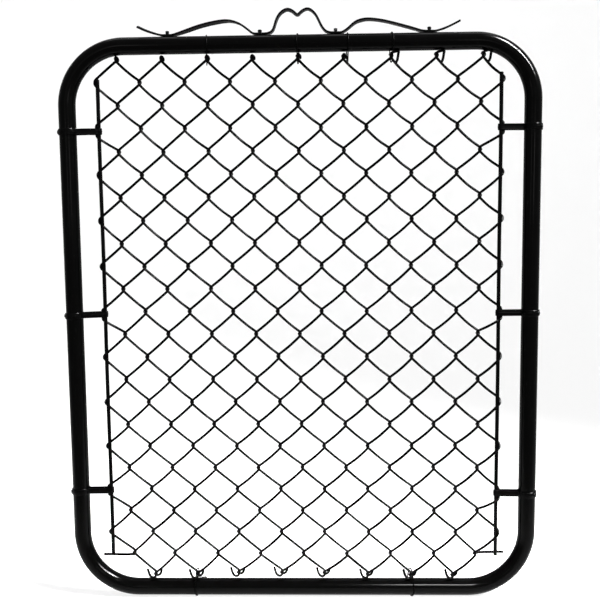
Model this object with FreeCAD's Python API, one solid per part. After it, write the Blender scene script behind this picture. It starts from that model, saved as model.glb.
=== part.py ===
import FreeCAD, Part
import math
import os

os.makedirs("parts", exist_ok=True)

# Chain link walk gate leaf: a bent tube frame, woven wire fabric stretched between two
# tension bars, straps that tie the bars to the stiles, and a bent strip scroll on top.
# Millimetres. X runs from the hinge stile to the latch stile, -Y is the front, +Z is up.
# The origin is on the hinge stile's axis, at the height of the lower hinge seat.

# Frame
LEAF_WIDTH = 977.9
LEAF_HEIGHT = 1168.4
TUBE_DIAMETER = 34.925
TUBE_WALL = 1.65
BEND_RADIUS = 120.0
LOWER_HINGE_HEIGHT = 180.0

# Woven fabric
WIRE_DIAMETER = 4.88
WIRE_CLEARANCE = 0.4
WIRE_SIDES = 6
MITRE_GROWTH = 1.08
NOMINAL_DIAMOND_WIDTH = 92.0
NOMINAL_DIAMOND_HEIGHT = 93.3
FABRIC_TOP_GAP = 9.4
FABRIC_BOTTOM_GAP = 9.4
KNOT_HALF_HEIGHT = 6.2
WEAVE_DEPTH = 4.88
TAIL_PAST_BAR = 18.0
TAIL_BELOW_TURN = 1.0

# Tension bars
BAR_DIAMETER = 7.94
BAR_SETBACK = 64.2
BAR_ABOVE_TOP_TURN = 11.5
TURN_STEP = 45
TURN_HALF_HEIGHT = 9.0
TURN_HALF_STRAIGHT = 1.5
BAND_TURN_HALF_HEIGHT = 15.0
BAND_TURN_MARGIN = 2.0

# Tension bands
BAND_HEIGHT = 12.7
BAND_THICKNESS = 1.9
BAND_TUBE_CLEARANCE = 0.15
BAND_BAR_CLEARANCE = 0.3
BAND_BEND = 3.0
FIRST_BAND_ROW = 1.5
BAND_DROPS = ((1.3, 2.5, 2.2), (2.8, 3.3, 9.8))
EDGE_TOLERANCE = 0.01

# Scroll on the top rail
STRIP_WIDTH = 12.7
STRIP_THICKNESS = 3.175
STRIP_SEAT = 0.1
INNER_FOOT = 76.0
OUTER_FOOT = 262.5
FOOT_HALF_LENGTH = 7.0
CREST_PEAK = 20.5
CREST_HEIGHT = 50.4
CREST_DIP_HEIGHT = 36.4
WAVE_PEAK = 137.0
WAVE_HEIGHT = 29.9
TAIL_LENGTH = 60.0
TAIL_HEIGHT = 22.4
TAIL_SAG = 0.4
SHOULDER = 0.45
WAVE_RISE = 0.55
WAVE_FALL = 0.6
CREST_RISE = 0.5

# Scroll screws
SCREW_DIAMETER = 4.0
SCREW_LENGTH = 9.0
SCREW_HEAD_ACROSS_FLATS = 7.0
SCREW_HEAD_HEIGHT = 4.2
SCREW_PROUD = 3.2
SCREW_CLEARANCE = 0.15

# Tie wires
TIE_DIAMETER = 3.0
TIE_CLEARANCE = 0.3
TIE_HOOK_DROP = 3.3
TIE_DROP_PER_SHIFT = 0.37
TOP_TIE_COLUMNS = (-4, 0, 2, 4)
TOP_TIE_SHIFTS = (0.0, 0.0, 7.5, 0.0)
BOTTOM_TIE_COLUMNS = (-5, 5)

# Places worked out from the sizes above
V = FreeCAD.Vector
UP = V(0, 0, 1)
BACK = V(0, 1, 0)
RIGHT = V(1, 0, 0)
tube_radius = TUBE_DIAMETER / 2
wire_radius = WIRE_DIAMETER / 2
bar_radius = BAR_DIAMETER / 2
stile_gap = LEAF_WIDTH - TUBE_DIAMETER
middle_x = stile_gap / 2
bottom_edge = -LOWER_HINGE_HEIGHT
top_edge = bottom_edge + LEAF_HEIGHT
bottom_axis = bottom_edge + tube_radius
top_axis = top_edge - tube_radius

# Fabric grid: even and odd columns of knots at half the diamond's width, rows from the top
bar_x = (BAR_SETBACK, stile_gap - BAR_SETBACK)
wrap_radius = (bar_radius + wire_radius + WIRE_CLEARANCE) / math.cos(math.radians(TURN_STEP / 2))
fabric_left = bar_x[0] - wrap_radius + wire_radius
fabric_width = stile_gap - 2 * fabric_left
picket_count = 2 * round(fabric_width / NOMINAL_DIAMOND_WIDTH)
half_width = fabric_width / picket_count
top_row = top_edge - TUBE_DIAMETER - FABRIC_TOP_GAP
last_row = bottom_edge + TUBE_DIAMETER + FABRIC_BOTTOM_GAP
row_count = round((top_row - last_row) / NOMINAL_DIAMOND_HEIGHT - 0.5) + 0.5
row_height = (top_row - last_row) / row_count
knot_slope = (WIRE_DIAMETER * MITRE_GROWTH + WIRE_CLEARANCE) / (2 * KNOT_HALF_HEIGHT)
side_knot = KNOT_HALF_HEIGHT * knot_slope / math.sqrt(1 - knot_slope ** 2)
last_side_row = row_count - 0.5
last_band_row = row_count - 2
middle_band_row = round((FIRST_BAND_ROW + last_band_row) / 2 - 0.5) + 0.5
band_rows = {"top": FIRST_BAND_ROW, "middle": middle_band_row, "bottom": last_band_row}
tail_drop = KNOT_HALF_HEIGHT + TAIL_BELOW_TURN
tie_hook_radius = WEAVE_DEPTH + wire_radius + 2 * TIE_CLEARANCE + TIE_DIAMETER / 2
tie_hook_drop = KNOT_HALF_HEIGHT + TIE_HOOK_DROP


def row_z(row):
    return top_row - row * row_height


def band_z(side, row):
    """The middle of a band on the left (0) or right (1): a little below the row it ties."""
    return row_z(row) - BAND_DROPS[side][list(band_rows.values()).index(row)]


def column_x(column):
    return middle_x + (column - picket_count / 2) * half_width


def knot_column(offset, parity):
    """The column nearest to the middle plus offset that has knots in rows of this parity."""
    column = picket_count // 2 + offset
    return column if column % 2 == parity else column + 1


def frame_stretches():
    """The frame's tube, up the hinge stile and round: its straight stretches and its bends."""
    disc = Part.Face(Part.Wire(Part.makeCircle(tube_radius, V(0, 0, 0), UP)))
    bore = Part.Face(Part.Wire(Part.makeCircle(tube_radius - TUBE_WALL, V(0, 0, 0), UP)))
    section = disc.cut(bore).Faces[0]
    stile = top_axis - bottom_axis - 2 * BEND_RADIUS
    rail = stile_gap - 2 * BEND_RADIUS
    straights = []
    bends = []
    corner = V(0, 0, bottom_axis + BEND_RADIUS)
    heading = 0
    for length in (stile, rail, stile, rail):
        turn = FreeCAD.Rotation(BACK, heading)
        straight = section.extrude(UP * length)
        straight.Placement = FreeCAD.Placement(corner, turn)
        straights.append(straight)
        end = section.copy()
        end.translate(UP * length)
        bend = end.revolve(V(BEND_RADIUS, 0, length), BACK, 90)
        bend.Placement = FreeCAD.Placement(corner, turn)
        bends.append(bend)
        corner = corner + turn.multVec(V(BEND_RADIUS, 0, length + BEND_RADIUS))
        heading += 90
    return straights, bends


def drilled(rail):
    """The top rail with a pilot hole for each screw of the scroll, through its upper wall."""
    for x in screw_places():
        hole = Part.makeCylinder(SCREW_DIAMETER / 2 + SCREW_CLEARANCE, tube_radius, V(x, 0, top_axis), UP)
        rail = rail.cut(hole)
    return rail


def polygon_wire(points, radius, sides):
    """A closed solid of flat faces that follows the points, mitred at each of them."""
    directions = [(b - a).normalize() for a, b in zip(points, points[1:])]
    across = directions[0].cross(BACK).normalize()
    over = directions[0].cross(across)
    ring = []
    for k in range(sides):
        angle = 2 * math.pi * (k + 0.5) / sides
        ring.append(points[0] + across * (radius * math.cos(angle)) + over * (radius * math.sin(angle)))
    rings = [ring]
    for index in range(1, len(points)):
        along = directions[index - 1]
        after = directions[index] if index < len(directions) else along
        plane = (along + after).normalize()
        ring = [p + along * ((points[index] - p).dot(plane) / along.dot(plane)) for p in ring]
        rings.append(ring)
    faces = [Part.Face(Part.makePolygon(rings[0] + rings[0][:1]))]
    for low, high in zip(rings, rings[1:]):
        for k in range(sides):
            n = (k + 1) % sides
            faces.append(Part.Face(Part.makePolygon([low[k], low[n], high[n], high[k], low[k]])))
    faces.append(Part.Face(Part.makePolygon(rings[-1] + rings[-1][:1])))
    solid = Part.makeSolid(Part.makeShell(faces))
    if solid.Volume < 0:
        solid.reverse()
    return solid


def knot_turn(column, row, side):
    """Half a turn about a knot's vertical axis, going down, on its left (-1) or right (+1)."""
    x, z = column_x(column), row_z(row)
    return [
        V(x, side * WEAVE_DEPTH, z + KNOT_HALF_HEIGHT),
        V(x + side * side_knot, 0, z),
        V(x, -side * WEAVE_DEPTH, z - KNOT_HALF_HEIGHT),
    ]


def bar_turn(row, side):
    """Half a turn about a tension bar, going down, that runs straight behind a band."""
    x = bar_x[0] if side < 0 else bar_x[1]
    at_band = row in band_rows.values()
    z = band_z(0 if side < 0 else 1, row) if at_band else row_z(row)
    reach = BAND_TURN_HALF_HEIGHT if at_band else TURN_HALF_HEIGHT
    straight = BAND_HEIGHT / 2 + BAND_TURN_MARGIN if at_band else TURN_HALF_STRAIGHT
    middle = (straight + reach) / 2
    heights = ((2, reach), (1, middle), (0, straight), (0, -straight), (-1, -middle), (-2, -reach))
    points = []
    for steps, height in heights:
        angle = math.radians(TURN_STEP * steps)
        away = side * wrap_radius
        points.append(V(x + away * math.cos(angle), away * math.sin(angle), z + height))
    return points


def picket(index):
    """One wire of the fabric, from its top knot down to its last one."""
    first = index if index % 2 else index + 1
    points = []
    steps = int(2 * row_count) + 1
    if index in (0, picket_count - 1):
        steps -= 1
    for step in range(steps):
        column = first if step % 2 == 0 else 2 * index + 1 - first
        side = -1 if column == index else 1
        row = step / 2
        if column in (0, picket_count):
            points += bar_turn(row, side)
        else:
            points += knot_turn(column, row, side)
    if index in (0, picket_count - 1):
        out = -1 if index == 0 else 1
        end = points[-1]
        bar = bar_x[0] if index == 0 else bar_x[1]
        tail_z = row_z(last_side_row) - tail_drop
        points.append(V(end.x + out * KNOT_HALF_HEIGHT, end.y, tail_z))
        points.append(V(bar + out * TAIL_PAST_BAR, end.y, tail_z))
    return polygon_wire(points, wire_radius, WIRE_SIDES)


def chain_link_mesh():
    """Every wire but the two at the sides, which turn round the bars and end in tails."""
    return Part.makeCompound([picket(index) for index in range(1, picket_count - 1)])


def tension_bar(side):
    low = row_z(last_side_row) - tail_drop + wire_radius + WIRE_CLEARANCE
    high = row_z(0.5) + BAR_ABOVE_TOP_TURN
    return Part.makeCylinder(bar_radius, high - low, V(bar_x[side], 0, low), UP)


def tension_band(side, row):
    """A strap bent round the stile and back round the tension bar as one closed loop."""
    stile = 0.0 if side == 0 else stile_gap
    bar = bar_x[side]
    low = band_z(side, row) - BAND_HEIGHT / 2

    def loop(tube_reach, half_gap):
        parts = [
            Part.makeCylinder(tube_reach, BAND_HEIGHT, V(stile, 0, low), UP),
            Part.makeCylinder(half_gap, BAND_HEIGHT, V(bar, 0, low), UP),
            Part.makeBox(abs(bar - stile), 2 * half_gap, BAND_HEIGHT, V(min(bar, stile), -half_gap, low)),
        ]
        return parts[0].multiFuse(parts[1:]).removeSplitter()

    half_gap = bar_radius + BAND_BAR_CLEARANCE
    inside = tube_radius + BAND_TUBE_CLEARANCE
    outer = loop(inside + BAND_THICKNESS, half_gap + BAND_THICKNESS)
    inner = loop(inside, half_gap)
    outer = outer.makeFillet(BAND_BEND, neck_edges(outer, stile, inside + BAND_THICKNESS))
    inner = inner.makeFillet(BAND_BEND + BAND_THICKNESS, neck_edges(inner, stile, inside))
    return outer.cut(inner)


def neck_edges(shape, stile, reach):
    """The two upright edges where the arms leave the part that goes round the stile."""
    edges = []
    for edge in shape.Edges:
        middle = edge.CenterOfMass
        upright = abs(edge.tangentAt(edge.FirstParameter).z) > 1 - EDGE_TOLERANCE
        on_ring = abs(math.hypot(middle.x - stile, middle.y) - reach) < EDGE_TOLERANCE
        if upright and on_ring and abs(middle.y) > EDGE_TOLERANCE:
            edges.append(edge)
    return edges


def screw_places():
    return [middle_x + offset for offset in (-OUTER_FOOT, -INNER_FOOT, INNER_FOOT, OUTER_FOOT)]


def curve(points, start=None, end=None):
    spline = Part.BSplineCurve()
    if start and end:
        spline.interpolate(Points=points, InitialTangent=start, FinalTangent=end)
    else:
        spline.interpolate(Points=points)
    return spline.toShape()


def top_scroll():
    """A flat strip bent on edge: two tails, two waves and a double crest between four feet."""
    base = top_edge + STRIP_SEAT + STRIP_THICKNESS / 2

    def at(offset, height):
        return V(middle_x + offset, 0, base + height)

    tail_end = OUTER_FOOT + TAIL_LENGTH
    outer_out = OUTER_FOOT + FOOT_HALF_LENGTH
    outer_in = OUTER_FOOT - FOOT_HALF_LENGTH
    inner_out = INNER_FOOT + FOOT_HALF_LENGTH
    inner_in = INNER_FOOT - FOOT_HALF_LENGTH
    wave_shoulder = outer_in + SHOULDER * (WAVE_PEAK - outer_in)
    crest_shoulder = inner_in + SHOULDER * (CREST_PEAK - inner_in)
    tail = [(tail_end, TAIL_HEIGHT), ((tail_end + outer_out) / 2, TAIL_SAG * TAIL_HEIGHT), (outer_out, 0)]
    wave = [(outer_in, 0), (wave_shoulder, WAVE_RISE * WAVE_HEIGHT), (WAVE_PEAK, WAVE_HEIGHT),
            ((WAVE_PEAK + inner_out) / 2, WAVE_FALL * WAVE_HEIGHT), (inner_out, 0)]
    crest = [(inner_in, 0), (crest_shoulder, CREST_RISE * CREST_HEIGHT), (CREST_PEAK, CREST_HEIGHT),
             (0, CREST_DIP_HEIGHT)]
    left = [[at(-x, z) for x, z in run] for run in (tail, wave, crest)]
    right = [[at(x, z) for x, z in reversed(run)] for run in (tail, wave, crest)]
    crest_points = left[2] + right[2][1:]
    edges = [
        curve(left[0], V(TAIL_LENGTH, 0, -TAIL_HEIGHT), RIGHT),
        Part.makeLine(left[0][-1], left[1][0]),
        curve(left[1], RIGHT, RIGHT),
        Part.makeLine(left[1][-1], crest_points[0]),
        curve(crest_points, RIGHT, RIGHT),
        Part.makeLine(crest_points[-1], right[1][0]),
        curve(right[1], RIGHT, RIGHT),
        Part.makeLine(right[1][-1], right[0][0]),
        curve(right[0], RIGHT, V(TAIL_LENGTH, 0, TAIL_HEIGHT)),
    ]
    path = Part.Wire(edges)
    start = edges[0].valueAt(edges[0].FirstParameter)
    along = edges[0].tangentAt(edges[0].FirstParameter)
    normal = along.cross(BACK)
    corners = []
    for across, over in ((-1, -1), (1, -1), (1, 1), (-1, 1), (-1, -1)):
        corners.append(start + BACK * (across * STRIP_WIDTH / 2) + normal * (over * STRIP_THICKNESS / 2))
    sweep = Part.BRepOffsetAPI.MakePipeShell(path)
    sweep.setBiNormalMode(BACK)
    sweep.add(Part.Wire(Part.makePolygon(corners)))
    sweep.build()
    sweep.makeSolid()
    strip = sweep.shape()
    hole_start = top_edge - STRIP_THICKNESS
    hole_length = 3 * STRIP_THICKNESS
    for x in screw_places():
        hole = Part.makeCylinder(SCREW_DIAMETER / 2 + SCREW_CLEARANCE, hole_length, V(x, 0, hole_start), UP)
        strip = strip.cut(hole)
    return strip


def scroll_screw(x):
    """A hexagonal screw through the strip into the rail, its head standing a little proud."""
    seat = top_edge + STRIP_SEAT + STRIP_THICKNESS
    under_head = seat + SCREW_PROUD
    shank_length = SCREW_LENGTH + SCREW_PROUD
    shank = Part.makeCylinder(SCREW_DIAMETER / 2, shank_length, V(x, 0, seat - SCREW_LENGTH), UP)
    corner_radius = SCREW_HEAD_ACROSS_FLATS / 2 / math.cos(math.pi / 6)
    hexagon = [V(x + corner_radius * math.cos(math.radians(60 * k)),
                 corner_radius * math.sin(math.radians(60 * k)), under_head) for k in range(7)]
    head = Part.Face(Part.makePolygon(hexagon)).extrude(UP * SCREW_HEAD_HEIGHT)
    return head.fuse(shank).removeSplitter()


def tie_wire(x, rail_z, hook_z):
    """A wire loop round a rail and through the fabric: two arcs joined by two straight sides."""
    big = tube_radius + TIE_CLEARANCE + TIE_DIAMETER / 2
    small = tie_hook_radius
    gap = abs(rail_z - hook_z)
    sign = 1 if rail_z > hook_z else -1
    lean = math.asin((big - small) / gap)

    def on(radius, centre_z, angle):
        return V(x, radius * math.cos(angle), centre_z + sign * radius * math.sin(angle))

    a, b = on(big, rail_z, -lean), on(big, rail_z, math.pi + lean)
    c, d = on(small, hook_z, math.pi + lean), on(small, hook_z, -lean)
    path = Part.Wire([
        Part.Arc(a, on(big, rail_z, math.pi / 2), b).toShape(),
        Part.makeLine(b, c),
        Part.Arc(c, on(small, hook_z, -math.pi / 2), d).toShape(),
        Part.makeLine(d, a),
    ])
    section = Part.Wire(Part.makeCircle(TIE_DIAMETER / 2, b, c - b))
    ordered = Part.Wire([path.Edges[1], path.Edges[2], path.Edges[3], path.Edges[0]])
    return ordered.makePipeShell([section], True, False)


def save(name, shape):
    solids = shape.Solids
    if not solids or not all(solid.isValid() and solid.Volume > 0 for solid in solids):
        raise ValueError(name + " is not a sound solid")
    if len(solids) == 1:
        shape = solids[0]
    shape.exportStep("parts/" + name + ".step")
    print(name, len(solids), round(shape.Volume / 1000, 2), "cm3")


straights, bends = frame_stretches()
hinge_stile, top_rail, latch_stile, bottom_rail = straights
save("frame_stiles", Part.makeCompound([hinge_stile, latch_stile]))
save("frame_rails", Part.makeCompound([drilled(top_rail), bottom_rail]))
save("frame_bends", Part.makeCompound(bends))
save("chain_link_mesh", chain_link_mesh())
save("left_edge_wire", picket(0))
save("right_edge_wire", picket(picket_count - 1))
for side, side_name in enumerate(("left", "right")):
    save(side_name + "_tension_bar", tension_bar(side))
    for place, row in band_rows.items():
        save(side_name + "_" + place + "_band", tension_band(side, row))
save("top_scroll", top_scroll())
for number, x in enumerate(screw_places(), 1):
    save("scroll_screw_" + str(number), scroll_screw(x))
for number, (offset, shift) in enumerate(zip(TOP_TIE_COLUMNS, TOP_TIE_SHIFTS), 1):
    x = column_x(knot_column(offset, 1)) + shift
    drop = tie_hook_drop + TIE_DROP_PER_SHIFT * abs(shift)
    save("top_tie_" + str(number), tie_wire(x, top_axis, row_z(0) - drop))
for number, offset in enumerate(BOTTOM_TIE_COLUMNS, 1):
    x = column_x(knot_column(offset, 0))
    save("bottom_tie_" + str(number), tie_wire(x, bottom_axis, row_z(row_count) + tie_hook_drop))
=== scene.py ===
import math

import bpy
import numpy as np
from mathutils import Matrix, Vector


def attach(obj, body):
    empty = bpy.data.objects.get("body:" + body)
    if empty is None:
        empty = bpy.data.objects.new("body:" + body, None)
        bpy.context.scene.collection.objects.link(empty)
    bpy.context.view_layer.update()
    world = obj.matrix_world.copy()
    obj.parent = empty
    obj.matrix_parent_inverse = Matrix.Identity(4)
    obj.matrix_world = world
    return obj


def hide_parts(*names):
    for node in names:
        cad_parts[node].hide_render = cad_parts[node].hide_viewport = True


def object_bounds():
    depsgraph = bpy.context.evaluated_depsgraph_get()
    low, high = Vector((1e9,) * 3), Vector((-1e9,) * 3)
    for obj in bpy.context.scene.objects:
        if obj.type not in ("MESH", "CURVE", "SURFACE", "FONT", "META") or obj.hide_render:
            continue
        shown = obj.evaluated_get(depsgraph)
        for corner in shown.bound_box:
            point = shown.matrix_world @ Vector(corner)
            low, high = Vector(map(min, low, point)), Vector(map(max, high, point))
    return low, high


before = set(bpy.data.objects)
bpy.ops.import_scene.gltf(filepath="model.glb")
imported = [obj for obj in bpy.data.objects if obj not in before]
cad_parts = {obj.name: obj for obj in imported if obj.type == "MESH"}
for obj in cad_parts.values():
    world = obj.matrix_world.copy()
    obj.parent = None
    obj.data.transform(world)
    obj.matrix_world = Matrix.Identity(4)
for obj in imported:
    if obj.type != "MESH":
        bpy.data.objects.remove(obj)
cad_low, cad_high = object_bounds()

# The pieces are written in millimetres in the CAD frame and turned to metres in add_piece. The studio
# at the end is in metres. X runs from the hinge stile to the latch stile, -Y is the front, +Z is up.
MM = 0.001
LEAF_WIDTH = 977.9
LEAF_HEIGHT = 1168.4
TUBE_RADIUS = 17.4625
LOWER_HINGE_HEIGHT = 180.0
STILE_GAP = LEAF_WIDTH - 2 * TUBE_RADIUS
MIDDLE_X = STILE_GAP / 2
BOTTOM_EDGE = -LOWER_HINGE_HEIGHT
TOP_EDGE = BOTTOM_EDGE + LEAF_HEIGHT
BOTTOM_AXIS = BOTTOM_EDGE + TUBE_RADIUS
TOP_AXIS = TOP_EDGE - TUBE_RADIUS

WIRE_RADIUS = 2.7
BAR_RADIUS = 3.97
BAR_X = (64.2, STILE_GAP - 64.2)
COLUMNS = 18
ROWS = 11.5
LAST_SIDE_ROW = 11
# How far an edge wire reaches round its bar, by the CAD's formula with the scene's thicker wire
CAD_WRAP = (BAR_RADIUS + WIRE_RADIUS + 0.4) / math.cos(math.radians(22.5))
HALF_WIDTH = (STILE_GAP - 2 * (BAR_X[0] - CAD_WRAP + WIRE_RADIUS)) / COLUMNS
TOP_ROW = TOP_EDGE - 2 * TUBE_RADIUS - 9.4
LAST_ROW = BOTTOM_EDGE + 2 * TUBE_RADIUS + 9.4
ROW_HEIGHT = (TOP_ROW - LAST_ROW) / ROWS
# The rows that the straps are at, and how far each sits below its row, left and right
BAND_ROWS = {"top": 1.5, "middle": 5.5, "bottom": 9.5}
BAND_DROPS = ((1.3, 2.5, 2.2), (2.8, 3.3, 9.8))

chance = np.random.default_rng(41)


# Mesh building


def add_piece(name, vertices, faces, material, slot, stands_for, sharp=None):
    """Makes a mesh piece from points in millimetres, in place of the CAD nodes it stands for."""
    mesh = bpy.data.meshes.new(name)
    mesh.from_pydata((np.asarray(vertices, float) * MM).tolist(), [], [list(f) for f in faces])
    mesh.validate()
    mesh.polygons.foreach_set("use_smooth", [True] * len(mesh.polygons))
    if sharp is not None:
        mesh.set_sharp_from_angle(angle=math.radians(sharp))
    piece = bpy.data.objects.new(name, mesh)
    bpy.context.scene.collection.objects.link(piece)
    piece.data.materials.append(material)
    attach(piece, "root")
    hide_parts(*stands_for)


def unit(vectors):
    return vectors / np.linalg.norm(vectors, axis=-1, keepdims=True)


def path_frames(points, closed=False, up=None):
    """Two side directions at each point. up keeps one side fixed on a flat path."""
    points = np.asarray(points, float)
    if closed:
        along = np.roll(points, -1, 0) - np.roll(points, 1, 0)
    else:
        along = np.gradient(points, axis=0)
    along = unit(along)
    if up is not None:
        side = unit(np.cross(np.tile(np.asarray(up, float), (len(points), 1)), along))
        return side, np.cross(along, side)
    first = np.cross(along[0], (0, 1, 0) if abs(along[0][1]) < 0.9 else (1, 0, 0))
    side = [first / np.linalg.norm(first)]
    for tangent in along[1:]:
        turned = side[-1] - tangent * np.dot(side[-1], tangent)
        side.append(turned / np.linalg.norm(turned))
    side = np.array(side)
    return side, np.cross(along, side)


def sweep(points, section, closed=False, up=None, scale=None, roll=None):
    """Runs a closed section, given as (across, over) pairs, along the points, turned by roll."""
    points = np.asarray(points, float)
    section = np.asarray(section, float)
    side, over = path_frames(points, closed, up)
    scale = np.ones((len(points), 2)) if scale is None else np.asarray(scale, float)
    if roll is not None:
        cosine, sine = np.cos(roll)[:, None], np.sin(roll)[:, None]
        side, over = side * cosine + over * sine, over * cosine - side * sine
    rings = (
        points[:, None, :]
        + side[:, None, :] * (section[None, :, 0, None] * scale[:, None, 0, None])
        + over[:, None, :] * (section[None, :, 1, None] * scale[:, None, 1, None])
    )
    count, size = rings.shape[:2]
    faces = []
    for i in range(count if closed else count - 1):
        j = (i + 1) % count
        for k in range(size):
            n = (k + 1) % size
            faces.append((i * size + k, i * size + n, j * size + n, j * size + k))
    if not closed:
        faces.append(tuple(reversed(range(size))))
        faces.append(tuple(range((count - 1) * size, count * size)))
    return rings.reshape(-1, 3), faces


def circle(radius, sides):
    turns = 2 * np.pi * np.arange(sides) / sides
    return np.stack([np.cos(turns), np.sin(turns)], 1) * radius


# How far a cut end stands out, as a share of the radius, and how wide it still is there
CUT_LENGTH, CUT_WIDTH = 0.35, 0.72


def blunt_wire(points, radius, sides):
    """A round wire whose cut ends are slightly rounded off."""
    points = np.asarray(points, float)
    start = unit(points[0] - points[1])
    end = unit(points[-1] - points[-2])
    points = np.vstack([points[0] + start * radius * CUT_LENGTH, points,
                        points[-1] + end * radius * CUT_LENGTH])
    scale = np.ones((len(points), 2))
    scale[0] = scale[-1] = CUT_WIDTH
    return sweep(points, circle(radius, sides), scale=scale)


def stacked_faces(rings, sides):
    """Faces of rings of points stacked one on another, closed at both ends."""
    faces = []
    for ring in range(rings - 1):
        for k in range(sides):
            n = (k + 1) % sides
            faces.append((ring * sides + k, ring * sides + n, (ring + 1) * sides + n, (ring + 1) * sides + k))
    faces.append(tuple(range((rings - 1) * sides, rings * sides)))
    faces.append(tuple(reversed(range(sides))))
    return faces


def joined(parts):
    """Several (vertices, faces) pairs as one."""
    vertices, faces, offset = [], [], 0
    for part_vertices, part_faces in parts:
        vertices.append(part_vertices)
        faces += [tuple(index + offset for index in face) for face in part_faces]
        offset += len(part_vertices)
    return np.vstack(vertices), faces


def eased(points, passes=1):
    """The same open path with its kinks softened."""
    points = np.asarray(points, float)
    for _ in range(passes):
        inner = 0.25 * points[:-2] + 0.5 * points[1:-1] + 0.25 * points[2:]
        points = np.vstack([points[:1], inner, points[-1:]])
    return points


def rounded(points, steps=6):
    """A smooth path through the points."""
    points = np.asarray(points, float)
    padded = np.vstack([2 * points[0] - points[1], points, 2 * points[-1] - points[-2]])
    out = []
    for i in range(len(points) - 1):
        a, b, c, d = padded[i:i + 4]
        for t in np.arange(steps) / steps:
            out.append(0.5 * (2 * b + (c - a) * t + (2 * a - 5 * b + 4 * c - d) * t ** 2
                              + (3 * b - a - 3 * c + d) * t ** 3))
    out.append(points[-1])
    return np.array(out)


def arc(centre, radius, start, end, steps):
    """Points on an arc in the plane, angles in degrees."""
    turns = np.radians(np.linspace(start, end, steps))
    return [(centre[0] + radius * math.cos(t), centre[1] + radius * math.sin(t)) for t in turns]


# Materials

COAT_IOR = 1.16
PEEL_STRENGTH = 0.11
PEEL_DEPTH = 0.0003
DUST_TONES = ((0.03, 0.029, 0.028), (0.042, 0.04, 0.038))
SCUFF_TONES = ((0.09, 0.09, 0.092), (0.12, 0.12, 0.122))


def coating(name, tint, rough, grain, wear, level):
    """Black coating: fine orange peel, slow changes of gloss, very faint dust and small scuffs.

    tint is its grey, rough its roughness, grain the scale of the orange peel, wear the share of dust
    and scuffs, and level the strength of its reflection.
    """
    material = bpy.data.materials.new(name)
    material.use_nodes = True
    nodes, links = material.node_tree.nodes, material.node_tree.links
    shader = nodes["Principled BSDF"]
    shader.inputs["IOR"].default_value = COAT_IOR
    shader.inputs["Specular IOR Level"].default_value = level
    place = nodes.new("ShaderNodeTexCoord")

    def noise(scale, detail, roughness=0.5):
        node = nodes.new("ShaderNodeTexNoise")
        node.inputs["Scale"].default_value = scale
        node.inputs["Detail"].default_value = detail
        node.inputs["Roughness"].default_value = roughness
        links.new(place.outputs["Object"], node.inputs["Vector"])
        return node

    def ramp(source, stops):
        node = nodes.new("ShaderNodeValToRGB")
        for k, (at, value) in enumerate(stops):
            spot = node.color_ramp.elements[k] if k < 2 else node.color_ramp.elements.new(at)
            spot.position = at
            spot.color = (*value, 1) if isinstance(value, tuple) else (value, value, value, 1)
        links.new(source.outputs["Fac"], node.inputs["Fac"])
        return node

    def mix(factor, first, second):
        node = nodes.new("ShaderNodeMix")
        node.data_type = "RGBA"
        links.new(factor, node.inputs["Factor"])
        links.new(first, node.inputs["A"])
        links.new(second, node.inputs["B"])
        return node.outputs["Result"]

    slow = noise(14, 3)
    body = ramp(slow, [(0.3, 0.7 * tint), (0.7, 1.25 * tint)])
    dust_field = noise(55, 5, 0.65)
    dust = ramp(dust_field, [(0.56, 0.0), (0.82, 0.25 * wear)])
    dusty = ramp(slow, list(zip((0.3, 0.7), DUST_TONES)))
    colour = mix(dust.outputs["Color"], body.outputs["Color"], dusty.outputs["Color"])
    scuff_field = noise(240, 2, 0.4)
    scuff = ramp(scuff_field, [(0.69, 0.0), (0.74, 0.6 * wear)])
    bare = ramp(slow, list(zip((0.3, 0.7), SCUFF_TONES)))
    colour = mix(scuff.outputs["Color"], colour, bare.outputs["Color"])
    links.new(colour, shader.inputs["Base Color"])

    gloss_field = noise(32, 4, 0.6)
    gloss = nodes.new("ShaderNodeMapRange")
    gloss.inputs["To Min"].default_value = rough - 0.05
    gloss.inputs["To Max"].default_value = rough + 0.08
    links.new(gloss_field.outputs["Fac"], gloss.inputs["Value"])
    rougher = nodes.new("ShaderNodeMath")
    rougher.operation = "MULTIPLY_ADD"
    rougher.inputs[1].default_value = 0.35
    links.new(scuff.outputs["Color"], rougher.inputs[0])
    links.new(gloss.outputs["Result"], rougher.inputs[2])
    links.new(rougher.outputs["Value"], shader.inputs["Roughness"])

    peel = noise(grain, 2, 0.45)
    bump = nodes.new("ShaderNodeBump")
    bump.inputs["Strength"].default_value = PEEL_STRENGTH
    bump.inputs["Distance"].default_value = PEEL_DEPTH
    links.new(peel.outputs["Fac"], bump.inputs["Height"])
    links.new(bump.outputs["Normal"], shader.inputs["Normal"])
    return material


tube_coating = coating("tube_coating_look", 0.00008, 0.12, 420, 0.008, 0.2)
wire_coating = coating("wire_coating_look", 0.00008, 0.15, 700, 0.008, 0.13)
fitting_coating = coating("fitting_coating_look", 0.00012, 0.17, 600, 0.015, 0.18)
scroll_coating = coating("scroll_coating_look", 0.00012, 0.25, 520, 0.02, 0.16)
screw_coating = coating("screw_coating_look", 0.00016, 0.26, 800, 0.03, 0.25)
tie_coating = coating("tie_coating_look", 0.00008, 0.4, 700, 0.01, 0.05)


# Frame: one tube bent at four corners, a little flattened in the bends

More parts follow.
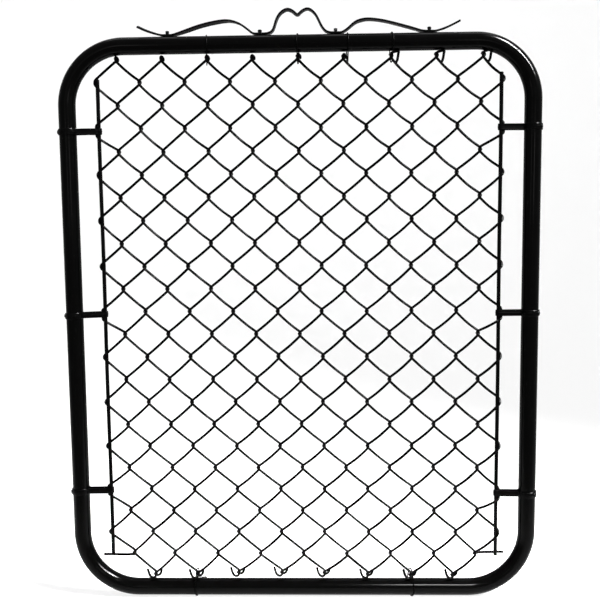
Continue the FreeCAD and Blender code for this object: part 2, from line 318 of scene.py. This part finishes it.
# Radius of each bend's middle line
TOP_LEFT, TOP_RIGHT, BOTTOM_RIGHT, BOTTOM_LEFT = 119.3, 115.6, 123.0, 119.7
BEND_SQUEEZE, BEND_SPREAD = 0.022, 0.008
bends = [
    (TOP_LEFT, TOP_AXIS - TOP_LEFT, TOP_LEFT, 180),
    (STILE_GAP - TOP_RIGHT, TOP_AXIS - TOP_RIGHT, TOP_RIGHT, 90),
    (STILE_GAP - BOTTOM_RIGHT, BOTTOM_AXIS + BOTTOM_RIGHT, BOTTOM_RIGHT, 0),
    (BOTTOM_LEFT, BOTTOM_AXIS + BOTTOM_LEFT, BOTTOM_LEFT, -90),
]
bend_arcs = [arc((x, z), radius, start, start - 90, 33) for x, z, radius, start in bends]
tube_line, tube_scale = [], []
for number, bend in enumerate(bend_arcs):
    for share, (x, z) in zip(np.linspace(0, 1, len(bend)), bend):
        flat = math.sin(math.pi * share)
        tube_line.append((x, 0, z))
        tube_scale.append((1 - BEND_SQUEEZE * flat, 1 + BEND_SPREAD * flat))
    following = bend_arcs[(number + 1) % 4][0]
    for share in np.linspace(0, 1, 14)[1:-1]:
        x, z = (a + (b - a) * share for a, b in zip(bend[-1], following))
        tube_line.append((x, 0, z))
        tube_scale.append((1, 1))
vertices, faces = sweep(tube_line, circle(TUBE_RADIUS, 72), closed=True, up=(0, 1, 0), scale=tube_scale)
add_piece("gate_frame", vertices, faces, tube_coating, "tube_coating",
          ["frame_stiles", "frame_rails", "frame_bends"])


# Woven fabric

KNOT_SIDE = 1.8
KNOT_DEPTH = 4.88
KNOT_RISE = 4.3
LEG_SAG = 2.3
LEG_BULGE = 3.4
BAR_WRAP = BAR_RADIUS + WIRE_RADIUS - 0.9
# Half height of a turn round a bar and of its straight middle, away from the straps and behind one
PLAIN_TURN, STRAP_TURN = (9, 0.8), (15, 8.4)
# How far each row of knots sits above the even grid
ROW_LIFTS = ((0, 0.4), (0.5, 0.6), (1, 1.7), (2, 2.4), (3, 4.0), (4, 3.6), (5, 3.3), (6, 3.0), (7, 0.5),
             (8, -1.0), (9, -0.4), (10, 0.2), (11, -0.2), (11.5, 0))
# How far single knots, given as (column, row), sit off the grid
KNOT_MOVES = {
    (13, 0): (3, 0), (15, 0): (3, 0), (17, 0): (5.4, 0), (1, 11): (5, 1), (17, 11): (-2.4, 0),
    (2, 11.5): (3.1, 0.5), (4, 11.5): (1.5, -0.8), (6, 11.5): (-0.8, 4.2), (8, 11.5): (-0.8, 4.2),
    (10, 11.5): (-0.8, 3.4), (12, 11.5): (-0.8, 0), (14, 11.5): (-0.8, -0.8), (16, 11.5): (-4.5, -0.8),
}
knot_offsets = {}


def row_z(row):
    """The height of a row of knots: the even grid, a little higher in the upper half of the leaf."""
    rows, lifts = zip(*ROW_LIFTS)
    return TOP_ROW - row * ROW_HEIGHT + float(np.interp(row, rows, lifts))


def drift(column, row):
    """How far the fabric is pulled sideways, with numbers fitted to the knots in the photograph."""
    across = (column - COLUMNS / 2) / 8
    down = (row - 6) / 6
    share = math.sin(math.pi * min(max(column / COLUMNS, 0), 1)) ** 0.5
    return share * (-2.3 + 2.4 * across + 1.6 * down + 1.2 * across * down + 3.4 * down ** 2) * 0.6


def knot_place(column, row):
    """Where a knot sits: the grid, moved a little as hand-stretched fabric is."""
    key = (column, row)
    if key not in knot_offsets:
        dx, dz = KNOT_MOVES.get(key, (drift(column, row), 0))
        knot_offsets[key] = (dx + chance.normal(0, 0.5), dz + chance.normal(0, 0.4))
    dx, dz = knot_offsets[key]
    return MIDDLE_X + (column - COLUMNS / 2) * HALF_WIDTH + dx, row_z(row) + dz


def knot_turn(column, row, side):
    """Half a turn through the neighbour's, going down."""
    x, z = knot_place(column, row)
    return [(x + side * KNOT_SIDE * math.sin(t), side * KNOT_DEPTH * math.cos(t),
             z + KNOT_RISE * (1 - 2 * t / math.pi)) for t in np.linspace(0, math.pi, 9)]


def band_z(side, place):
    """The middle of a strap on the left (0) or right (1) bar."""
    drop = BAND_DROPS[side][list(BAND_ROWS).index(place)]
    return TOP_ROW - BAND_ROWS[place] * ROW_HEIGHT - drop


def bar_turn(row, side):
    """Half a turn round a tension bar, going down, straight where a strap is in front of it."""
    x = BAR_X[0] if side < 0 else BAR_X[1]
    z = row_z(row)
    reach, straight = PLAIN_TURN
    for place, band_row in BAND_ROWS.items():
        if row == band_row:
            z = band_z(0 if side < 0 else 1, place)
            reach, straight = STRAP_TURN
    points = []
    for t in np.linspace(90, 0, 6):
        height = straight + (reach - straight) * t / 90
        points.append((x + side * BAR_WRAP * math.cos(math.radians(t)),
                       side * BAR_WRAP * math.sin(math.radians(t)), z + height))
    points += [(px, -py, 2 * z - pz) for px, py, pz in reversed(points)]
    return points


# Height of the edge wires' cut tails, left and right
TAIL_Z = (row_z(LAST_SIDE_ROW) + 0.4, row_z(LAST_SIDE_ROW) - 0.4)


def leg(start, end):
    """The stretch between two turns: it sags a little and stands away from the middle plane."""
    start, end = np.array(start), np.array(end)
    outward = math.copysign(1, start[1] + end[1])
    sag = (LEG_SAG + chance.normal(0, 0.25)) * min(1, abs(start[2] - end[2]) / 36) ** 2
    sag *= 0.5 if end[0] < start[0] else 1
    points = []
    for share in np.linspace(0, 1, 9)[1:-1]:
        swell = math.sin(math.pi * share)
        bow = np.array([0, outward * LEG_BULGE * swell, -sag * swell])
        points.append(start + (end - start) * share + bow)
    return points


def top_hook(column, side):
    """The end of a wire above a top knot, bent over to the far side and down."""
    x, z = knot_place(column, 0)
    if side < 0:
        if column >= 13:
            shape = [(8.6, -15.4), (11.2, -10.6), (12.4, -4.6), (13.2, 1.4), (13.4, 7.2)]
        else:
            shape = [(4.4, -4.6), (5.0, -1.8), (4.2, 1.2), (2.2, 3.4)]
        return [(x + a, -KNOT_DEPTH - 0.6, z + b) for a, b in shape]
    shape = [(-2.4, 1.2), (-2.3, 2.8), (-1.2, 4.2)]
    return [(x + a, KNOT_DEPTH + 0.6, z + b) for a, b in shape]


def bottom_hook(column, side):
    """The end of a wire under a bottom knot, bent round and up again."""
    x, z = knot_place(column, ROWS)
    if side > 0:
        shape = [(-4.2, -5.4), (-9.4, -3.0), (-13, 4), (-15.4, 13.4)]
        return [(x + a, -KNOT_DEPTH - 1.4, z + b) for a, b in shape]
    shape = [(4.4, -5.0), (8.6, -2.4), (11, 2.6), (11.8, 7.5)]
    return [(x + a, KNOT_DEPTH + 0.8, z + b) for a, b in shape]


def picket_line(index):
    """The whole line of one wire of the fabric, from its top end down."""
    edge = index in (0, COLUMNS - 1)
    first = index if index % 2 else index + 1
    steps = int(2 * ROWS) + (0 if edge else 1)
    turns = []
    for step in range(steps):
        column = first if step % 2 == 0 else 2 * index + 1 - first
        side = -1 if column == index else 1
        row = step / 2
        turns.append(bar_turn(row, side) if column in (0, COLUMNS) else knot_turn(column, row, side))
    start_side = -1 if first == index else 1
    points = rounded(top_hook(first, start_side) + turns[0][:1], 4)[:-1].tolist()
    for here, there in zip(turns, turns[1:]):
        points += list(here) + leg(here[-1], there[0])
    points += list(turns[-1])
    end = np.array(turns[-1][-1])
    if edge:
        out = -1 if index == 0 else 1
        bar = BAR_X[0] if index == 0 else BAR_X[1]
        tail_z = TAIL_Z[0] if index == 0 else TAIL_Z[1]
        depth = math.copysign(BAR_RADIUS + WIRE_RADIUS + 0.4, end[1])
        points = points[:-2]
        tail = [points[-1], (end[0] + out * 7, end[1] * 1.05, tail_z - 0.6),
                (end[0] + out * 15, depth, tail_z - 0.4), (bar - out * 6, depth, tail_z),
                (bar + out * 6, depth, tail_z + 0.3), (bar + out * 17.5, depth, tail_z + 0.2)]
        points += rounded(tail, 5)[1:].tolist()
    else:
        last = first if (steps - 1) % 2 == 0 else 2 * index + 1 - first
        side = -1 if last == index else 1
        points += rounded([end] + [np.array(p) for p in bottom_hook(last, side)], 4)[1:].tolist()
    return eased(np.array([tuple(p) for p in points]), 1)


lines = [picket_line(index) for index in range(COLUMNS)]
wires = [blunt_wire(line, WIRE_RADIUS, 10) for line in lines]
vertices, faces = joined(wires[1:-1])
add_piece("woven_fabric", vertices, faces, wire_coating, "wire_coating", ["chain_link_mesh"])
add_piece("left_edge_weave", *wires[0], wire_coating, "wire_coating", ["left_edge_wire"])
add_piece("right_edge_weave", *wires[-1], wire_coating, "wire_coating", ["right_edge_wire"])


# Tension bars, slightly bowed between their straps

# Side, middle line, bow, and how far it runs below the row of its wire's tail and above its first turn
BARS = (("left", BAR_X[0], 0.35, 3.4, 9.0), ("right", BAR_X[1], -0.3, 4.6, 12.5))
for side_name, x, bow, below, above in BARS:
    bar_low = TOP_ROW - LAST_SIDE_ROW * ROW_HEIGHT - below
    bar_high = TOP_ROW - 0.5 * ROW_HEIGHT + above
    heights = np.concatenate([[0, 0.5, 1.2], np.linspace(8, bar_high - bar_low - 8, 40),
                              np.array([-1.2, -0.5, 0]) + bar_high - bar_low])
    wave = bow * np.sin(heights / (bar_high - bar_low) * math.pi * 4)
    line = np.stack([x + wave, 0.1 * wave, bar_low + heights], 1)
    scale = np.ones((len(line), 2))
    scale[[0, -1]] = CUT_WIDTH
    scale[[1, -2]] = 0.9
    vertices, faces = sweep(line, circle(BAR_RADIUS, 20), scale=scale)
    add_piece(side_name + "_bar", vertices, faces, fitting_coating, "fitting_coating",
              [side_name + "_tension_bar"])


# Tension bands: a pressed strap round the stile and back round the bar

BAND_HALF_HEIGHT = 6.35
BAND_HALF_THICK = 0.95
BAND_RING = TUBE_RADIUS + 0.15 + BAND_HALF_THICK
BAND_ARM = BAR_RADIUS + 0.3 + BAND_HALF_THICK
BAND_FILLET = 3.95


def band_line(stile, bar):
    """The strap's middle line, closed, seen from above."""
    toward = 1 if bar > stile else -1
    reach = BAND_RING + BAND_FILLET
    fillet_x = math.sqrt(reach ** 2 - (BAND_ARM + BAND_FILLET) ** 2)
    open_angle = math.degrees(math.atan2(BAND_ARM + BAND_FILLET, fillet_x))
    length = abs(bar - stile)
    points = arc((0, 0), BAND_RING, open_angle, 360 - open_angle, 60)
    points += arc((fillet_x, -BAND_ARM - BAND_FILLET), BAND_FILLET, 180 - open_angle, 90, 7)[1:]
    points += [(fillet_x + (length - fillet_x) * s, -BAND_ARM) for s in np.linspace(0, 1, 8)[1:-1]]
    points += arc((length, 0), BAND_ARM, -90, 90, 17)
    points += [(length + (fillet_x - length) * s, BAND_ARM) for s in np.linspace(0, 1, 8)[1:-1]]
    points += arc((fillet_x, BAND_ARM + BAND_FILLET), BAND_FILLET, -90, open_angle - 180, 7)[:-1]
    line = np.array([(stile + toward * px, py, 0) for px, py in points])
    return line if toward > 0 else line[::-1]


def band_section():
    """Outer side domed with a faint rib along the middle, inner side flat, edges rounded."""
    outer = []
    for z in np.linspace(-BAND_HALF_HEIGHT + 0.5, BAND_HALF_HEIGHT - 0.5, 13):
        dome = 0.3 * (1 - (z / BAND_HALF_HEIGHT) ** 2) + 0.28 * math.exp(-(z / 1.1) ** 2)
        outer.append((BAND_HALF_THICK - 0.3 + dome, z))
    inner_half = BAND_HALF_HEIGHT - 0.4
    inner = [(-BAND_HALF_THICK, z) for z in np.linspace(inner_half, -inner_half, 5)]
    return outer + [(0.2, BAND_HALF_HEIGHT)] + inner + [(0.2, -BAND_HALF_HEIGHT)]


# Degrees that each strap's boss is turned from the front, and each strap's slope
BOSS_TURN = {"left_top": 74, "left_middle": 80, "left_bottom": 70,
             "right_top": 46, "right_middle": 52, "right_bottom": 44}
BAND_TILT = {"left_top": 0.004, "left_middle": 0.035, "left_bottom": 0.012,
             "right_top": -0.006, "right_middle": 0.004, "right_bottom": -0.01}
BOSS_RADIUS = 4.9
BOSS_FOOT = TUBE_RADIUS + 1.0
BOSS_HEIGHT = 3.0
BOSS_SIDES = 20
BOSS_RINGS = 7


def boss(stile, z, outward, turn):
    """The low rounded head pressed out of a strap's outer side, turned from the front by turn degrees."""
    away = np.array([outward * math.sin(math.radians(turn)), -math.cos(math.radians(turn)), 0])
    beside = np.cross(away, (0, 0, 1))
    points = []
    for ring in range(BOSS_RINGS):
        tilt = math.pi / 2 * ring / (BOSS_RINGS - 0.5)
        for k in range(BOSS_SIDES):
            around = 2 * math.pi * k / BOSS_SIDES
            flat = BOSS_RADIUS * math.cos(tilt)
            height = BOSS_FOOT + BOSS_HEIGHT * math.sin(tilt)
            points.append(np.array([stile, 0, z]) + away * height + beside * (flat * math.cos(around))
                          + np.array([0, 0, 1]) * (flat * math.sin(around)))
    return np.array(points), stacked_faces(BOSS_RINGS, BOSS_SIDES)


for side_name, stile, bar in (("left", 0.0, BAR_X[0]), ("right", STILE_GAP, BAR_X[1])):
    for place in BAND_ROWS:
        line = band_line(stile, bar)
        middle = band_z(0 if side_name == "left" else 1, place)
        line[:, 2] = middle + (line[:, 0] - stile) * BAND_TILT[side_name + "_" + place]
        section = [(-across, over) for across, over in band_section()]
        strap = sweep(line, section, closed=True, up=(0, 0, 1))
        outward = 1 if side_name == "right" else -1
        head = boss(stile, middle - 0.4, outward, BOSS_TURN[side_name + "_" + place])
        vertices, faces = joined([strap, head])
        add_piece(side_name + "_" + place + "_strap", vertices, faces, fitting_coating, "fitting_coating",
                  [side_name + "_" + place + "_band"], sharp=50)


# Scroll: a flat strip bent into two tails, two waves and a double crest

STRIP_BASE = TOP_EDGE + 2.0
SCREW_X = [MIDDLE_X + offset for offset in (-262.5, -76, 76, 262.5)]
# Middle line of the strip between its screws, as (along the rail, above the rail)
SCROLL_RUNS = [
    [(149, 18.4), (166, 10.6), (184, 4.4), (198, 0.5), (203, 0)],
    [(215, 0), (222, 0.8), (247, 8), (275, 17), (306, 23.8), (334, 26.4), (356, 20.2), (372, 9), (381, 2),
     (388.5, 0)],
    [(402.5, 0), (412.5, 0.9), (419.5, 4.2), (423.8, 10.8), (428.2, 24), (431.8, 32), (436.6, 38.8),
     (443.2, 44), (452.2, 46.8), (461.8, 43.2), (471.2, 36), (480, 43), (489.8, 47.4), (498, 45.4),
     (505.8, 38.4), (511, 30.4), (515.8, 20.4), (520.8, 11.2), (527, 4), (534, 0.9), (540.5, 0)],
    [(554.5, 0), (562, 1.2), (573, 8.5), (588, 20.2), (609, 25.4), (634, 23.2), (657, 18.4), (697, 7.4),
     (717, 1.4), (727, 0)],
    [(741, 0), (748, 0.8), (766, 6.5), (782, 13.6), (795, 20)],
]
scroll_line = []
for run in SCROLL_RUNS:
    scroll_line += rounded([(x, 0, STRIP_BASE + z) for x, z in run], 6).tolist()
scroll_line = eased(scroll_line, 2)
# It leans a little to the front and back, most at the crest
lean = 0.8 * np.sin(scroll_line[:, 0] / 61.0) * (scroll_line[:, 2] - STRIP_BASE) / 50
scroll_line[:, 1] += lean
# It is twisted between its screws: (along the rail, degrees that its underside turns to the front)
TWISTS = ((149, -13), (185, -12), (204, 0), (215, 0), (255, 13), (305, 13), (325, 9), (345, -3), (361, -9),
          (378, -9), (390, 0), (402, 0), (435, 6), (455, 7), (475, 4), (495, 0), (541, 0), (554, 0), (575, 4),
          (596, 8), (616, 4), (656, 2), (696, 2), (727, 0), (741, 0), (758, -12), (776, -8), (795, -5))
strip_roll = -np.radians(np.interp(scroll_line[:, 0], *zip(*TWISTS)))
half_wide, half_thick, corner = 6.35, 2.0, 0.4
strip_section = [
    (half_thick, -half_wide + corner), (half_thick, 0), (half_thick, half_wide - corner),
    (half_thick - corner, half_wide), (corner - half_thick, half_wide),
    (-half_thick, half_wide - corner), (-half_thick, 0), (-half_thick, corner - half_wide),
    (corner - half_thick, -half_wide), (half_thick - corner, -half_wide),
]
scale = np.ones((len(scroll_line), 2))
scale[[0, -1], 1] = 0.9
vertices, faces = sweep(scroll_line, strip_section, up=(0, 1, 0), scale=scale, roll=strip_roll)
add_piece("scroll_strip", vertices, faces, scroll_coating, "scroll_coating", ["top_scroll"], sharp=35)


# Screws of the scroll: a six-sided head on a neck that stands proud of the strip

SCREW_SEAT = TOP_EDGE + 3.28
# Each screw's neck radius, and how far its head is raised
SCREW_NECKS = ((3.2, 0.0), (3.8, -0.3), (3.0, 0.2), (3.3, 0.1))


def lathe_rings(x, base, rings, sides=48):
    """Rings of (radius, height, share of a hexagon), stacked and closed at both ends."""
    turns = 2 * np.pi * np.arange(sides) / sides
    points = []
    for radius, height, hexagon in rings:
        flat = np.cos(np.pi / 6) / np.cos((turns + np.pi / 6) % (np.pi / 3) - np.pi / 6)
        reach = radius * (1 - hexagon + hexagon * flat)
        level = np.full(sides, base + height)
        points.append(np.stack([x + reach * np.cos(turns), reach * np.sin(turns), level], 1))
    return np.vstack(points), stacked_faces(len(rings), sides)


for number, x in enumerate(SCREW_X, 1):
    neck, lift = SCREW_NECKS[number - 1]
    rings = [(2, -8, 0), (2, -0.4, 0), (neck + 0.5, -0.02, 0), (neck, 0.4, 0), (neck, 2.9, 0), (3.9, 3.1, 0),
             (4.1, 3.3, 0.3), (4.04, 3.6, 1), (4.04, 6.7, 1), (3.9, 7.1, 0.8), (3.3, 7.4, 0.2), (3.0, 7.3, 0),
             (2.2, 7.2, 0)]
    rings = [(radius, height if height < 1 else height + lift, hexagon) for radius, height, hexagon in rings]
    vertices, faces = lathe_rings(x, SCREW_SEAT, rings)
    turn = 0.3 * number
    around = vertices[:, :2] - (x, 0)
    vertices[:, 0] = x + around[:, 0] * math.cos(turn) - around[:, 1] * math.sin(turn)
    vertices[:, 1] = around[:, 0] * math.sin(turn) + around[:, 1] * math.cos(turn)
    add_piece("scroll_bolt_" + str(number), vertices, faces, screw_coating, "screw_coating",
              ["scroll_screw_" + str(number)], sharp=30)


# Tie wires: a turn over the rail and through the fabric, with the ends twisted together behind

TIE_RADIUS = 1.25
# How far a tie's loop is centred past the knots, and how much more where it is moved along the rail
TIE_DROP, TIE_SLOPE = 3.6, 0.37
# The twisted ends: where they start along the rail, their length and turns, how far behind the rail's
# axis they are, and how far from it towards the fabric
TWIST_START, TWIST_LENGTH, TWIST_TURNS = 2.5, 11, 2.4
TWIST_BEHIND, TWIST_BELOW = 16.4, 11.6
# Column, shift along the rail and slant of each top tie; column and slant of each bottom tie
TOP_TIES = ((5, 0.0, 5.0), (9, 0.0, -4.0), (11, 7.5, 3.0), (13, 0.0, 6.0))
BOTTOM_TIES = ((4, -7.0), (14, 12.0))


def tie(x, rail_z, hook_z, slant):
    """The loop leans along the rail by slant from back to front, and ends in a short twist behind."""
    sign = 1 if rail_z > hook_z else -1
    big = TUBE_RADIUS + TIE_RADIUS - 0.1
    small = KNOT_DEPTH + WIRE_RADIUS + TIE_RADIUS + 0.4
    gap = abs(rail_z - hook_z)
    lean_angle = math.degrees(math.asin((big - small) / gap))
    over = arc((0, 0), big, -lean_angle, 180 + lean_angle, 40)
    under = arc((0, -gap), small, 180 + lean_angle, 360 - lean_angle, 18)
    line = np.array([(x + slant * (0.5 - (y / big + 1) / 2), y, rail_z + sign * h) for y, h in over + under])
    parts = [sweep(line, circle(TIE_RADIUS, 12), closed=True)]
    for phase in (0, math.pi):
        twist = []
        for t in np.linspace(0, 1, 30):
            turn = phase + t * TWIST_TURNS * 2 * math.pi
            across = TIE_RADIUS * 0.98 * math.cos(turn)
            over_it = TIE_RADIUS * 0.98 * math.sin(turn)
            twist.append((x - slant * 0.5 + TWIST_START + TWIST_LENGTH * t,
                          TWIST_BEHIND - 0.6 * t + over_it,
                          rail_z - sign * (TWIST_BELOW + 1.2 * t) + across))
        parts.append(blunt_wire(twist, TIE_RADIUS * 0.95, 10))
    return joined(parts)


for number, (column, shift, slant) in enumerate(TOP_TIES, 1):
    x = knot_place(column, 0)[0] + shift
    z = row_z(0) - TIE_DROP - TIE_SLOPE * abs(shift)
    vertices, faces = tie(x, TOP_AXIS, z, slant)
    add_piece("top_wrap_" + str(number), vertices, faces, tie_coating, "tie_coating",
              ["top_tie_" + str(number)])
for number, (column, slant) in enumerate(BOTTOM_TIES, 1):
    x = knot_place(column, ROWS)[0]
    vertices, faces = tie(x, BOTTOM_AXIS, LAST_ROW + TIE_DROP, slant)
    add_piece("bottom_wrap_" + str(number), vertices, faces, tie_coating, "tie_coating",
              ["bottom_tie_" + str(number)])


# Studio: a pale floor that runs up into a backdrop, lamps and the photograph's camera, in metres

PAPER_COLOUR = (0.93, 0.93, 0.93, 1)
PAPER_GLOW = 0.82
# Strength of the world as a light, and as the camera and reflections see it
WORLD_LIGHT = 0.25
WORLD_SEEN = 0.95
# The paper from its front edge to its top, and its two sides
FLOOR_FRONT, CURVE_START, CURVE_RADIUS, WALL_TOP = -9.0, 1.6, 1.2, 7.0
FLOOR_SIDES = (-8.0, 9.0)
# The camera as fitted to the photograph, its angles in degrees
CAMERA_LENS = 49.61
CAMERA_PLACE = (0.516, -1.7012, 0.6245)
CAMERA_YAW, CAMERA_PITCH, CAMERA_ROLL = -1.534, -5.728, -0.61


def seen_by_eye(tree):
    """1 for camera, glossy and transmission rays, 0 for the rest."""
    path = tree.nodes.new("ShaderNodeLightPath")
    total = path.outputs["Is Camera Ray"]
    for output in ("Is Glossy Ray", "Is Transmission Ray"):
        either = tree.nodes.new("ShaderNodeMath")
        either.operation = "MAXIMUM"
        tree.links.new(total, either.inputs[0])
        tree.links.new(path.outputs[output], either.inputs[1])
        total = either.outputs["Value"]
    return total


def pale_material():
    material = bpy.data.materials.new("studio_paper")
    material.use_nodes = True
    nodes, links = material.node_tree.nodes, material.node_tree.links
    shader = nodes["Principled BSDF"]
    shader.inputs["Base Color"].default_value = PAPER_COLOUR
    shader.inputs["Roughness"].default_value = 0.9
    shader.inputs["Specular IOR Level"].default_value = 0.0
    glow = nodes.new("ShaderNodeEmission")
    glow.inputs["Color"].default_value = (1, 1, 1, 1)
    glow.inputs["Strength"].default_value = 1.0
    share = nodes.new("ShaderNodeMath")
    share.operation = "MULTIPLY"
    share.inputs[1].default_value = PAPER_GLOW
    links.new(seen_by_eye(material.node_tree), share.inputs[0])
    blend = nodes.new("ShaderNodeMixShader")
    links.new(share.outputs["Value"], blend.inputs["Fac"])
    links.new(shader.outputs["BSDF"], blend.inputs[1])
    links.new(glow.outputs["Emission"], blend.inputs[2])
    links.new(blend.outputs["Shader"], nodes["Material Output"].inputs["Surface"])
    return material


floor_z = cad_low.z
profile = [(FLOOR_FRONT, floor_z), (CURVE_START, floor_z)]
profile += [(CURVE_START + CURVE_RADIUS * math.sin(t), floor_z + CURVE_RADIUS * (1 - math.cos(t)))
            for t in np.linspace(0, math.pi / 2, 16)[1:]]
profile += [(CURVE_START + CURVE_RADIUS, WALL_TOP)]
sheet_points = [(x, y, z) for y, z in profile for x in FLOOR_SIDES]
sheet_faces = [(2 * i, 2 * i + 1, 2 * i + 3, 2 * i + 2) for i in range(len(profile) - 1)]
sheet_mesh = bpy.data.meshes.new("studio_sweep")
sheet_mesh.from_pydata(sheet_points, [], sheet_faces)
sheet_mesh.polygons.foreach_set("use_smooth", [True] * len(sheet_mesh.polygons))
sweep_sheet = bpy.data.objects.new("studio_sweep", sheet_mesh)
bpy.context.scene.collection.objects.link(sweep_sheet)
sweep_sheet.data.materials.append(pale_material())

scene = bpy.context.scene
world = bpy.data.worlds.new("studio_world")
scene.world = world
world.use_nodes = True
world_nodes, world_links = world.node_tree.nodes, world.node_tree.links
dim = world_nodes["Background"]
dim.inputs["Color"].default_value = (1, 1, 1, 1)
dim.inputs["Strength"].default_value = WORLD_LIGHT
shown = world_nodes.new("ShaderNodeBackground")
shown.inputs["Color"].default_value = (1, 1, 1, 1)
shown.inputs["Strength"].default_value = WORLD_SEEN
world_blend = world_nodes.new("ShaderNodeMixShader")
world_links.new(seen_by_eye(world.node_tree), world_blend.inputs["Fac"])
world_links.new(dim.outputs["Background"], world_blend.inputs[1])
world_links.new(shown.outputs["Background"], world_blend.inputs[2])
world_links.new(world_blend.outputs["Shader"], world_nodes["World Output"].inputs["Surface"])


def lamp(name, place, aim, size, power, turn=0, spread=180):
    """A flat lamp at place that looks at aim, turned about that line, its beam spread in degrees."""
    data = bpy.data.lights.new(name, "AREA")
    data.shape = "RECTANGLE"
    data.size, data.size_y = size
    data.energy = power
    data.spread = math.radians(spread)
    lamp_object = bpy.data.objects.new(name, data)
    aim_line = Vector(aim) - Vector(place)
    lamp_object.location = place
    lamp_object.rotation_mode = "QUATERNION"
    about_aim = Matrix.Rotation(math.radians(turn), 3, "Z").to_quaternion()
    lamp_object.rotation_quaternion = aim_line.to_track_quat("-Z", "Y") @ about_aim
    bpy.context.scene.collection.objects.link(lamp_object)


# key makes the bright spot on the top right bend, and with corner_light the one on the bottom left
# bend. corner_light also lifts the lower part of the frame. rail_light makes the bright line on the
# bottom rail, the two front lamps faint lines on the stiles and bends. paper_light lights the paper
# and the upper edge of the top rail.
lamp("key", (3.1, -1.4, 3.05), (0.9, 0, 0.93), (0.12, 2.6), 150, 22, 34)
lamp("corner_light", (1.86, -0.7, 2.66), (0.07, 0, -0.14), (0.3, 2.2), 75, 16, 20)
lamp("rail_light", (1.16, -2.3, 2.13), (0.75, 0, -0.18), (0.5, 0.35), 2.2, 0, 20)
lamp("right_front", (1.5, -3.0, 0.9), (0.47, 0, 0.4), (0.3, 0.5), 6)
lamp("left_front", (-0.6, -3.0, 0.9), (0.47, 0, 0.4), (0.3, 0.6), 3.5)
lamp("paper_light", (0.5, 0.9, 4.5), (0.5, 1.6, 0), (4.0, 2.0), 90)

camera_data = bpy.data.cameras.new("camera")
camera_data.sensor_width = 36
camera_data.lens = CAMERA_LENS
camera_data.clip_start = 0.05
camera_data.clip_end = 60
camera = bpy.data.objects.new("camera", camera_data)
scene.collection.objects.link(camera)
yaw, pitch, roll = (math.radians(angle) for angle in (CAMERA_YAW, CAMERA_PITCH, CAMERA_ROLL))
forward = np.array([math.sin(yaw) * math.cos(pitch), math.cos(yaw) * math.cos(pitch), math.sin(pitch)])
level = np.array([math.cos(yaw), -math.sin(yaw), 0])
upward = np.cross(level, forward)
image_right = math.cos(roll) * level + math.sin(roll) * upward
image_up = -math.sin(roll) * level + math.cos(roll) * upward
turned = Matrix(np.stack([image_right, image_up, -forward], 1).tolist()).to_4x4()
turned.translation = CAMERA_PLACE
camera.matrix_world = turned
scene.camera = camera
scene.view_settings.view_transform = "Standard"
